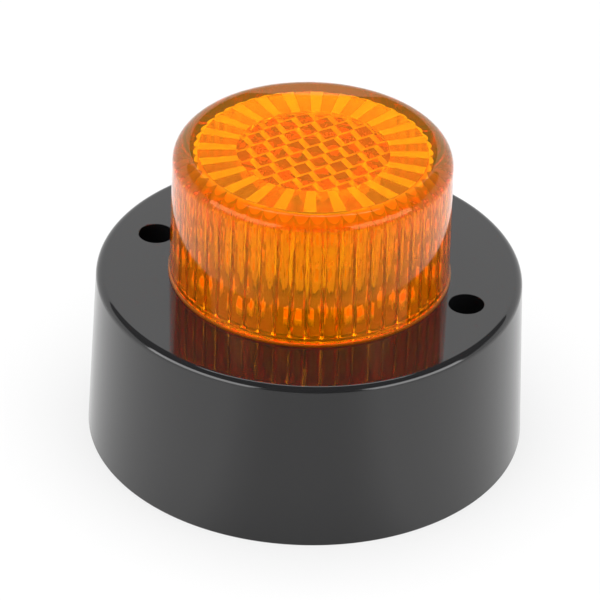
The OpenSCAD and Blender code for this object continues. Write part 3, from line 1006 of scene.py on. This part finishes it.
@dataclass
class Thread:
    """The coarse thread that holds the lens in the collar."""

    pitch: float = 3 * MM
    depth: float = 0.9 * MM
    base: float = 1.5 * MM
    crest: float = 0.7 * MM
    bite: float = 0.3 * MM
    steps: int = 96

    def ridge(self, name: str, wall: float, outward: bool, start: float, turns: float) -> Workpiece:
        """Sweeps the ridge up its helix.

        Args:
            name: the ridge's name.
            wall: the radius of the wall that carries it.
            outward: whether the ridge stands out from the axis.
            start: the height of the ridge's middle where it starts, on the X axis.
            turns: how many turns it makes.

        Returns:
            The ridge, with its root sunk a little into the wall.
        """
        side = 1 if outward else -1
        root, tip = wall - side * self.bite, wall + side * self.depth
        Workpiece.clear()
        bpy.ops.mesh.primitive_plane_add(
            size=1, rotation=(math.pi / 2, 0, 0), location=((root + tip) / 2, 0, start))
        bpy.context.object.scale = (abs(tip - root), self.base, 1)
        piece = Workpiece(bpy.context.object, name)
        piece.pick_edges(lambda a, b: abs(a.x - tip) < TOUCH and abs(b.x - tip) < TOUCH)
        piece.edit(
            lambda: bpy.ops.transform.resize(value=(1, 1, self.crest / self.base),
                                             center_override=(tip, 0, start)),
            lambda: bpy.ops.mesh.select_all(action="SELECT"),
            lambda: bpy.ops.mesh.delete(type="ONLY_FACE"))
        steps = round(self.steps * turns)
        piece.modify("SCREW", axis="Z", angle=math.tau * turns, screw_offset=self.pitch * turns,
                     steps=steps, render_steps=steps, use_normal_calculate=True)
        piece.pick_nothing(Pick.POINTS)
        piece.edit(
            lambda: bpy.ops.mesh.select_non_manifold(),
            lambda: bpy.ops.mesh.fill_holes(sides=4))
        return piece.weld()


@dataclass
class BaseHousing:
    """The black moulded base: shell, screw tubes, ribs, and the collar that the lens screws into."""

    paint: Paintshop
    thread: Thread
    foot_r: float = highest("base_housing")[0]
    deck: float = highest("base_housing")[2]
    deck_r: float = 49 * MM
    wall_t: float = 2.6 * MM
    deck_t: float = 3 * MM
    rim_r: float = 1.7 * MM
    rim_steps: int = 10
    bolt_at: float = 38.1 * MM
    bolt_r: float = 4.05 * MM
    bolt_tube_r: float = 6.4 * MM
    mouth_r: float = 0.15 * MM
    mouth_steps: int = 3
    collar_r: float = 32.4 * MM
    collar_bore_r: float = 30.2 * MM
    seal_seat_r: float = 31.4 * MM
    seal_seat: float = 39.5 * MM
    ledge_top: float = 30.4 * MM
    ledge_t: float = 2.5 * MM
    ledge_r: float = 20 * MM
    tray_screw_count: int = 3
    tray_screw_turn: float = 90.0
    tray_screw_at: float = 22.8 * MM
    tray_screw_r: float = 1.4 * MM
    tray_screw_l: float = 1 * MM
    post_count: int = 4
    post_turn: float = 45.0
    post_at: float = 42.4 * MM
    post_r: float = 3.8 * MM
    post_foot: float = 3.6 * MM
    pilot_r: float = 1.3 * MM
    pilot_l: float = 12 * MM
    rib_count: int = 8
    rib_t: float = 1.8 * MM
    rib_h: float = 9 * MM
    rib_bite: float = 1 * MM
    web_bite: float = 0.4 * MM
    ridge_up: float = 1.2 * MM
    ridge_turns: float = 2.0
    overrun: float = 5 * MM
    shell_sides: int = 256
    collar_sides: int = 192
    bore_sides: int = 96
    tube_sides: int = 64
    post_sides: int = 48
    screw_sides: int = 32
    crease: float = 28.0

    @property
    def inner_r(self) -> float:
        """The radius inside the wall's foot."""
        return self.foot_r - self.wall_t

    def shell(self) -> Workpiece:
        """Turns the tapered shell, rounds its rim and hollows it.

        Returns:
            The shell.
        """
        shell = Workpiece.cylinder("base_shell", self.foot_r, 0, self.deck, self.shell_sides,
                                   top_radius=self.deck_r)
        shell.pick_edges(lambda a, b: min(a.z, b.z) > self.deck - TOUCH)
        shell.bevel(self.rim_r, self.rim_steps)
        under = self.deck - self.deck_t
        slope = (self.foot_r - self.deck_r) / self.deck
        hollow = Workpiece.cylinder("hollow", self.inner_r + slope * MM, -MM, under, self.shell_sides,
                                    top_radius=self.inner_r - slope * under)
        return shell.cut(hollow)

    def bosses(self) -> Workpiece:
        """Makes everything that hangs from the deck: tubes, collar, ribs and screw posts.

        Returns:
            All of it in one piece, which reaches half into the deck.
        """
        under = self.deck - self.deck_t / 2
        collar = Workpiece.cylinder("collar", self.collar_r, self.ledge_top - self.ledge_t, under,
                                    self.collar_sides)
        for spot in centres(2, self.bolt_at):
            tube = Workpiece.cylinder("tube", self.bolt_tube_r, 0, under, self.tube_sides, spot)
            collar.cut(tube, Cut.ADD)
        rib = Workpiece.block(
            "rib", (self.collar_r - self.rib_bite, -self.rib_t / 2, self.deck - self.deck_t - self.rib_h),
            (self.inner_r, self.rib_t / 2, under))
        collar.cut(rib.copies_round(self.rib_count, 180 / self.rib_count), Cut.ADD)
        post = Workpiece.cylinder("post", self.post_r, self.post_foot, under, self.post_sides,
                                  (self.post_at, 0))
        web = Workpiece.block("web", (self.post_at, -self.rib_t / 2, self.post_foot),
                              (self.inner_r + self.web_bite, self.rib_t / 2, under))
        post.cut(web, Cut.ADD)
        return collar.cut(post.copies_round(self.post_count, self.post_turn), Cut.ADD)

    def bores(self) -> list[Workpiece]:
        """Makes the drills and cutters for every opening.

        Returns:
            One cutter for each opening.
        """
        over, below = self.deck + self.overrun, self.ledge_top - self.overrun
        middle, bolts = [(0.0, 0.0)], centres(2, self.bolt_at)
        trays = centres(self.tray_screw_count, self.tray_screw_at, self.tray_screw_turn)
        posts = centres(self.post_count, self.post_at, self.post_turn)
        tray_top, pilot_top = self.ledge_top + self.tray_screw_l, self.post_foot + self.pilot_l
        plan = (
            ("collar_bore", self.collar_bore_r, self.ledge_top, over, self.collar_sides, middle),
            ("seal_seat", self.seal_seat_r, self.seal_seat, over, self.collar_sides, middle),
            ("ledge_bore", self.ledge_r, below, over, self.bore_sides, middle),
            ("bolt", self.bolt_r, -self.overrun, over, self.bore_sides, bolts),
            ("tray_screw", self.tray_screw_r, below, tray_top, self.screw_sides, trays),
            ("pilot", self.pilot_r, 0, pilot_top, self.screw_sides, posts),
        )
        return [Workpiece.cylinder(name, radius, low, high, sides, spot)
                for name, radius, low, high, sides, spots in plan for spot in spots]

    def on_mouth(self, point: Vector) -> bool:
        """Tells whether a point lies on a bolt hole's mouth."""
        reach = (Vector((abs(point.x), point.y, 0)) - Vector((self.bolt_at, 0, 0))).length
        return abs(point.z - self.deck) < TOUCH and abs(reach - self.bolt_r) < 2 * TOUCH

    def build(self) -> None:
        """Builds the housing and hands it over."""
        shell = self.shell().cut(self.bosses(), Cut.ADD)
        for cutter in self.bores():
            shell.cut(cutter)
        ridge = self.thread.ridge("collar_ridge", self.collar_bore_r, False,
                                  self.ledge_top + self.ridge_up, self.ridge_turns)
        shell.cut(ridge, Cut.ADD)
        shell.pick_edges(lambda a, b: self.on_mouth(a) and self.on_mouth(b))
        shell.bevel(self.mouth_r, self.mouth_steps)
        shell.weld().smooth(self.crease)
        shell.thing.name = "housing_shell"
        shell.coat(self.paint.get(BaseFinish.HOUSING))
        shell.deliver("base", "black_housing", "base_housing")


@dataclass
class Lens:
    """The amber lens: fluted inside its wall, grooved and studded with cube corners under its top."""

    paint: Paintshop
    thread: Thread
    deck: float = highest("base_housing")[2]
    top: float = highest("lens")[2]
    foot_r: float = highest("lens")[0]
    top_r: float = 31.8 * MM
    lip_h: float = 0.8 * MM
    lip_r: float = 0.3 * MM
    shoulder_r: float = 3.9 * MM
    shoulder_steps: int = 16
    top_t: float = 2.8 * MM
    neck_r: float = 29 * MM
    neck_l: float = 10 * MM
    neck_bore_r: float = 27.4 * MM
    chamfer: float = 0.6 * MM
    ridge_from: float = 33.1 * MM
    ridge_turns: float = 1.5
    flute_count: int = 48
    flute_out_r: float = 27.2 * MM
    flute_r: float = 2.1 * MM
    flute_steps: int = 18
    core_foot: float = 0.2 * MM
    core_chamfer: float = 1.1 * MM
    overlap: float = 0.3 * MM
    spoke_count: int = 24
    spoke_angle: float = 6.5
    spoke_depth: float = 0.4 * MM
    spoke_drop: float = 0.5 * MM
    prism_r: float = 17.4 * MM
    prism_pitch: float = 4.75 * MM
    prism_drop: float = 0.15 * MM
    prism_bite: float = 0.45 * MM
    prism_trim: float = 0.05 * MM
    facet_play: float = 0.04
    # how far up the normals of the rounded shoulder point, from its foot to its edge with the top
    shoulder_low: float = 0.3
    shoulder_high: float = 0.985
    sides: int = 384
    core_sides: int = 192
    crease: float = 22.0

    @property
    def roof(self) -> float:
        """The height of the underside of the top."""
        return self.top - self.top_t

    def outside(self) -> Workpiece:
        """Raises the outside from its foot: lip, tapered wall, rounded shoulder, then the neck below.

        Returns:
            The lens as a solid block.
        """
        lip_top = self.deck + self.lip_h
        body = Workpiece.cylinder("lens_body", self.foot_r, self.deck, lip_top - self.lip_r, self.sides)
        body.pick_faces(lambda at, way: way.z > FACING)
        wall_r = self.foot_r - self.lip_r
        body.extrude(self.lip_r).widen(wall_r / self.foot_r)
        body.extrude(self.top - lip_top).widen(self.top_r / wall_r)
        body.pick_faces(lambda at, way: way.z < -FACING)
        body.inset(self.foot_r - self.neck_r)
        body.extrude(self.chamfer - self.neck_l)
        body.extrude(-self.chamfer).widen(1 - self.chamfer / self.neck_r)
        body.pick_edges(lambda a, b: min(a.z, b.z) > self.top - TOUCH)
        return body.bevel(self.shoulder_r, self.shoulder_steps)

    def cavity(self) -> Workpiece:
        """Makes the core of the mould: a scalloped drum over a plain one.

        One flute's arc is spun from a point on its cusp, and spun again round the lens to close the
        outline.

        Returns:
            The core.
        """
        flute_at = self.flute_out_r - self.flute_r
        half = math.pi / self.flute_count
        cusp = flute_at * math.cos(half) + math.sqrt(self.flute_r ** 2 - (flute_at * math.sin(half)) ** 2)
        foot = self.deck + self.core_foot
        low = foot - self.overlap
        start = Vector((cusp * math.cos(half), -cusp * math.sin(half), low))
        swing = 2 * math.atan2(-start.y, start.x - flute_at)
        Workpiece.clear()
        bpy.ops.mesh.primitive_plane_add(size=MM, location=start)
        drum = Workpiece(bpy.context.object, "core")
        drum.edit(
            lambda: bpy.ops.mesh.select_all(action="SELECT"),
            lambda: bpy.ops.mesh.merge(type="CENTER"),
            lambda: bpy.ops.mesh.select_all(action="SELECT"),
            lambda: bpy.ops.mesh.spin(steps=self.flute_steps, angle=-swing, center=(flute_at, 0, low),
                                      axis=(0, 0, 1)),
            lambda: bpy.ops.mesh.select_all(action="SELECT"),
            lambda: bpy.ops.mesh.spin(steps=self.flute_count, dupli=True, angle=math.tau,
                                      center=(0, 0, low), axis=(0, 0, 1)),
            lambda: bpy.ops.mesh.select_all(action="SELECT"),
            lambda: bpy.ops.mesh.remove_doubles(threshold=WELD),
            lambda: bpy.ops.mesh.edge_face_add())
        drum.extrude(self.roof + MM - low)
        drum.weld().cut(self.core_cone(low), Cut.KEEP)
        neck = Workpiece.cylinder("neck_core", self.neck_bore_r, self.deck - self.neck_l - MM, foot,
                                  self.core_sides)
        return drum.cut(neck, Cut.ADD)

    def core_cone(self, low: float) -> Workpiece:
        """Makes a drum with a chamfered top, which bounds the core of the mould.

        Args:
            low: the height of the core's foot.

        Returns:
            The drum, a little wider than the core below its chamfer.
        """
        wide, narrow = (self.flute_out_r + side * self.core_chamfer for side in (1, -1))
        slope_from = self.roof - 2 * self.core_chamfer
        drum = Workpiece.cylinder("core_cone", wide, low - MM, slope_from, self.sides)
        drum.pick_faces(lambda at, way: way.z > FACING)
        drum.extrude(2 * self.core_chamfer).widen(narrow / wide)
        # turned by half a side, so that none of its edges meets a flute's
        return drum.move(turned(180 / self.sides))

    def spokes(self) -> Workpiece:
        """Makes the cutters of the radial channels, which widen outwards.

        Returns:
            All the cutters as one workpiece.
        """
        slope = math.tan(math.radians(self.spoke_angle / 2))
        start, end = self.prism_r - self.overlap, self.flute_out_r - self.core_chamfer
        bar = Workpiece.block("spoke", (start, -start * slope, self.roof - self.spoke_drop),
                              (end, start * slope, self.roof + self.spoke_depth))
        bar.pick_faces(lambda at, way: way.x > FACING)
        bar.edit(lambda: bpy.ops.transform.resize(value=(1, end / start, 1), center_override=(0, 0, 0)))
        return bar.copies_round(self.spoke_count, 90 / self.spoke_count)

    def prisms(self) -> Workpiece:
        """Makes the patch of cube corners that point down.

        Returns:
            The patch, whose flat back reaches into the top.
        """
        edge = self.prism_pitch / math.sqrt(2)
        drop = edge / math.sqrt(3)
        tip = self.roof - self.prism_drop - 2 * drop
        ceiling = self.roof + self.prism_bite
        # a cube that stands on one corner, with that corner at the tip
        stand = Vector((1, 1, 1)).rotation_difference(Vector((0, 0, 1))).to_matrix().to_4x4()
        flat = (stand @ Vector((edge, 0, 0))).to_2d()
        turn = math.radians(30) - math.atan2(flat.y, flat.x)
        cube = Workpiece.block("prism", (0, 0, 0), (edge, edge, edge))
        cube.move(Matrix.Translation((0, 0, tip)) @ Matrix.Rotation(turn, 4, "Z") @ stand)
        cube.pick_faces(lambda at, way: way.z > 0)
        cube.edit(lambda: bpy.ops.mesh.delete(type="FACE"))
        patch = self.tiled(cube)
        patch.pick_nothing(Pick.POINTS)
        patch.edit(
            lambda: bpy.ops.mesh.select_all(action="SELECT"),
            lambda: bpy.ops.mesh.remove_doubles(threshold=TOUCH),
            lambda: bpy.ops.mesh.extrude_region_move(TRANSFORM_OT_translate={"value": (0, 0, 3 * drop)}),
            lambda: bpy.ops.transform.resize(value=(1, 1, 0), center_override=(0, 0, ceiling)))
        patch.weld()
        disc = Workpiece.cylinder("prism_disc", self.prism_r, tip - MM, ceiling - self.prism_trim,
                                  self.core_sides)
        return patch.cut(disc, Cut.KEEP)

    def tiled(self, cube: Workpiece) -> Workpiece:
        """Copies one cube corner over a hexagonal grid that covers the patch.

        Args:
            cube: the corner at the middle.

        Returns:
            All the corners as one workpiece.
        """
        row = self.prism_pitch * math.cos(math.pi / 6)
        cover = self.prism_r + self.prism_pitch
        steps = range(-math.ceil(cover / row), math.ceil(cover / row) + 1)
        spots = [Vector((self.prism_pitch * (i + j / 2), row * j, 0)) for i in steps for j in steps]
        return cube.copies(Matrix.Translation(spot) for spot in spots if spot.length <= cover)

    def build(self) -> None:
        """Moulds the lens, hands it over and finishes each part of it."""
        body = self.outside()
        body.cut(self.cavity())
        body.cut(self.spokes())
        body.cut(self.prisms(), Cut.ADD)
        ridge = self.thread.ridge("lens_ridge", self.neck_r, True, self.ridge_from, self.ridge_turns)
        body.cut(ridge, Cut.ADD)
        body.weld().smooth(self.crease)
        body.thing.name = "amber_lens"
        body.coat(self.paint.get(LensFinish.POLISHED))
        body.deliver("lens", "amber_lens", "lens")
        # the channels and the light-catching prism facets get finishes that paint their light in
        parts = {
            LensFinish.MATT: self.on_lip, LensFinish.SATIN: self.on_panel, LensFinish.LAPPED: self.on_facet,
            LensFinish.PAINTED_CHANNEL_LIGHT: self.in_channel, LensFinish.PAINTED_FACET_LIGHT: self.on_front_facet,
            LensFinish.FLAME_POLISHED: self.on_shoulder,
        }
        for finish, test in parts.items():
            body.also(self.paint.get(finish), test)

    def on_lip(self, at: Vector, way: Vector) -> bool:
        """Tells whether a face belongs to the foot lip, where the two halves of the tool part."""
        return (self.deck - TOUCH < at.z < self.deck + self.lip_h
                and at.to_2d().length > self.foot_r - 2 * self.lip_r)

    def on_shoulder(self, at: Vector, way: Vector) -> bool:
        """Tells whether a face belongs to the rounded shoulder."""
        return self.shoulder_low < way.z < self.shoulder_high and at.z > self.top - self.shoulder_r

    def on_panel(self, at: Vector, way: Vector) -> bool:
        """Tells whether a face is flat roof between the channels, which comes from a finely ground part."""
        return way.z < -FACING and abs(at.z - self.roof) < TOUCH and at.to_2d().length < self.flute_out_r

    def in_channel(self, at: Vector, way: Vector) -> bool:
        """Tells whether a face belongs to a radial channel, which is painted pale as light."""
        return (self.roof < at.z < self.roof + self.spoke_depth + TOUCH
                and self.prism_r < at.to_2d().length < self.flute_out_r)

    def on_facet(self, at: Vector, way: Vector) -> bool:
        """Tells whether a face is a facet of a cube corner, which all slope alike."""
        return (at.z < self.roof and at.to_2d().length < self.prism_r - TOUCH
                and abs(way.z + 1 / math.sqrt(3)) < self.facet_play)

    def on_front_facet(self, at: Vector, way: Vector) -> bool:
        """Tells whether a face is one of the two facets in three that don't face backwards."""
        return self.on_facet(at, way) and way.y < 0.5


@dataclass
class Emitters:
    """The surface-mounted lamps: white cases with a notched corner, a cup of phosphor and tinned tabs."""

    paint: Paintshop
    side: float = 5 * MM
    height: float = 1.6 * MM
    cup_r: float = 2 * MM
    cup_floor_r: float = 1.8 * MM
    cup_depth: float = 0.25 * MM
    cup_sides: int = 48
    notch: float = 0.6 * MM
    edge: float = 0.12 * MM
    edge_steps: int = 2
    tab_w: float = 1 * MM
    tab_h: float = 0.8 * MM
    tab_t: float = 0.12 * MM
    tab_step: float = 1.6 * MM
    crease: float = 30.0
    ring_count: int = 12
    ring_r: float = 20 * MM
    ring_z: float = lowest("ring_leds")[2]
    post_faces: int = 6
    post_r: float = 10 * MM
    post_rows: tuple[float, float] = (48 * MM, 57.6 * MM)
    cap_count: int = 3
    cap_turn: float = 60.0
    cap_at: float = 5.4 * MM
    cap_z: float = lowest("cap_leds")[2]
    cap_scale: float = 0.7

    @property
    def case_x(self) -> float:
        """How far the case reaches along X, short of the tabs."""
        return self.side / 2 - self.tab_t

    def case(self, name: str) -> Workpiece:
        """Makes the notched case of one lamp, with its cup.

        Args:
            name: its name.

        Returns:
            The case, which stands on the origin.
        """
        half, top = self.side / 2, self.height
        case = Workpiece.block(name, (-self.case_x, -half, 0), (self.case_x, half, top))
        case.pick_edges(lambda a, b: min(a.x, b.x, a.y, b.y) > 0 and abs(a.z - b.z) > top / 2)
        case.bevel(self.notch, 1)
        case.pick_edges(lambda a, b: min(a.z, b.z) > top - TOUCH)
        case.bevel(self.edge, self.edge_steps)
        lean = (self.cup_r - self.cup_floor_r) / self.cup_depth
        return case.cut(Workpiece.cylinder(
            "cup", self.cup_floor_r, top - self.cup_depth, top + self.cup_depth, self.cup_sides,
            top_radius=self.cup_floor_r + 2 * lean * self.cup_depth))

    def tabs(self) -> Workpiece:
        """Makes the six tabs of one lamp, three on each side.

        Returns:
            All the tabs as one workpiece.
        """
        half = self.side / 2
        tab = Workpiece.block("tab", (-self.tab_w / 2, -half, 0),
                              (self.tab_w / 2, self.tab_w - half, self.tab_h))
        tab.pick_edges(lambda a, b: max(a.y, b.y) < -half / 2 and min(a.z, b.z) > self.tab_h / 2)
        tab.bevel(self.tab_t, self.edge_steps)
        return tab.copies(turned(90 * side) @ Matrix.Translation((step * self.tab_step, 0, 0))
                          for side in (-1, 1) for step in (-1, 0, 1))

    def in_cup(self, at: Vector, way: Vector) -> bool:
        """Tells whether a face is the floor of the cup."""
        return (way.z > FACING and self.height / 2 < at.z < self.height - self.cup_depth / 2
                and at.to_2d().length < self.cup_r)

    def on_tab(self, at: Vector, way: Vector) -> bool:
        """Tells whether a face belongs to a tab."""
        return abs(at.x) > self.case_x + TOUCH

    def one(self, name: str) -> Workpiece:
        """Makes one lamp, which stands on the origin.

        Args:
            name: its name.

        Returns:
            The lamp, with its finishes.
        """
        lamp = self.case(name)
        lamp.cut(self.tabs(), Cut.ADD)
        lamp.weld().smooth(self.crease)
        lamp.coat(self.paint.get(Stock.LED_CASE))
        lamp.also(self.paint.get(Stock.PHOSPHOR), self.in_cup)
        return lamp.also(self.paint.get(Stock.TINNED), self.on_tab)

    def build(self) -> None:
        """Builds the three sets of lamps and hands them over."""
        ring = [turned((k + 0.5) * 360 / self.ring_count) @ Matrix.Translation((self.ring_r, 0, self.ring_z))
                for k in range(self.ring_count)]
        outward = Matrix.Rotation(math.pi / 2, 4, "Y")
        post = [turned(k * 360 / self.post_faces) @ Matrix.Translation((self.post_r, 0, z)) @ outward
                for k in range(self.post_faces) for z in self.post_rows]
        cap = [turned(self.cap_turn + k * 360 / self.cap_count)
               @ Matrix.Translation((self.cap_at, 0, self.cap_z)) @ Matrix.Scale(self.cap_scale, 4)
               for k in range(self.cap_count)]
        for name, places in (("ring", ring), ("side", post), ("cap", cap)):
            self.one(f"{name}_lamps").copies(places).deliver("base", "lamp_yellow", f"{name}_leds")


@dataclass
class Grommet:
    """The rubber bush that seals the cable's way through the plate."""

    paint: Paintshop
    bore_r: float = 2.6 * MM
    neck_r: float = 3.9 * MM
    flange_r: float = highest("cable_grommet")[0]
    flange_t: float = 1 * MM
    foot: float = lowest("cable_grommet")[2]
    top: float = highest("cable_grommet")[2]
    round_r: float = 0.35 * MM
    round_steps: int = 4
    groove_count: int = 2
    groove_r: float = 2.95 * MM
    groove_h: float = 0.6 * MM
    crease: float = 35.0

    def on_flange_edge(self, a: Vector, b: Vector) -> bool:
        """Tells whether an edge lies on the outer rim of the foot or of the top."""
        level = abs(a.z - b.z) < TOUCH and min(abs(a.z - z) for z in (self.foot, self.top)) < TOUCH
        return level and min(a.to_2d().length, b.to_2d().length) > self.neck_r

    def build(self) -> None:
        """Builds the bush, with sealing grooves in its bore, and hands it over."""
        neck_z = self.foot + self.flange_t
        bush = Workpiece.cylinder("cable_bush", self.flange_r, self.foot, neck_z)
        bush.pick_faces(lambda at, way: way.z > FACING)
        bush.inset(self.flange_r - self.neck_r)
        bush.extrude(self.top - self.flange_t - neck_z)
        bush.extrude(0).widen(self.flange_r / self.neck_r).extrude(self.flange_t)
        bush.pick_edges(self.on_flange_edge)
        bush.bevel(self.round_r, self.round_steps)
        bush.cut(Workpiece.cylinder("bore", self.bore_r, -MM, self.top + MM))
        for k in range(self.groove_count):
            middle = self.foot + (k + 1) * (self.top - self.foot) / (self.groove_count + 1)
            bush.cut(Workpiece.cylinder("groove", self.groove_r, middle - self.groove_h / 2,
                                        middle + self.groove_h / 2))
        bush.weld().smooth(self.crease)
        bush.coat(self.paint.get(Stock.RUBBER)).deliver("base", "soft_rubber", "cable_grommet")


def dress_stock(paint: Paintshop) -> None:
    """Gives every CAD node that stays its finish.

    Args:
        paint: the paintshop.
    """
    finishes = {
        "base_plate": BaseFinish.PLATE, "foot_seal": Stock.FOAM, "plate_screws": Stock.ZINC,
        "driver_board": Stock.GREEN_BOARD, "board_screws": Stock.ZINC, "terminal_block": Stock.TERMINAL,
        "terminal_screws": Stock.ZINC, "capacitor_large": Stock.SLEEVE, "capacitor_small": Stock.SLEEVE,
        "choke": Stock.FERRITE, "driver_chip": Stock.EPOXY, "power_diodes": Stock.EPOXY,
        "chip_resistors": Stock.EPOXY, "lamp_leads": Stock.INSULATION, "lamp_tray": Stock.WHITE_TRAY,
        "tray_screws": Stock.ZINC, "lamp_board": Stock.METAL_BOARD, "heat_post": Stock.ALUMINIUM,
        "post_screw": Stock.ZINC, "cap_board": Stock.METAL_BOARD, "cap_screw": Stock.ZINC,
        "lens_seal": Stock.RUBBER,
    }
    finishes.update({f"led_board_{k}": Stock.WHITE_BOARD for k in range(1, 7)})
    for name, finish in finishes.items():
        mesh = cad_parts[name].data
        mesh.materials.clear()
        mesh.materials.append(paint.get(finish))
        LOG.info("%s: finished as %s", name, mesh.materials[0].name)


def main() -> None:
    """Builds the studio and every piece, in order."""
    logging.basicConfig(level=logging.INFO, format="%(name)s %(message)s")
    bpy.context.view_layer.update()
    bpy.context.scene.view_settings.view_transform = "Standard"
    Studio().build()
    paint = Paintshop()
    thread = Thread()
    dress_stock(paint)
    BaseHousing(paint, thread).build()
    Emitters(paint).build()
    Grommet(paint).build()
    Lens(paint, thread).build()


if __name__ == "__main__":
    main()
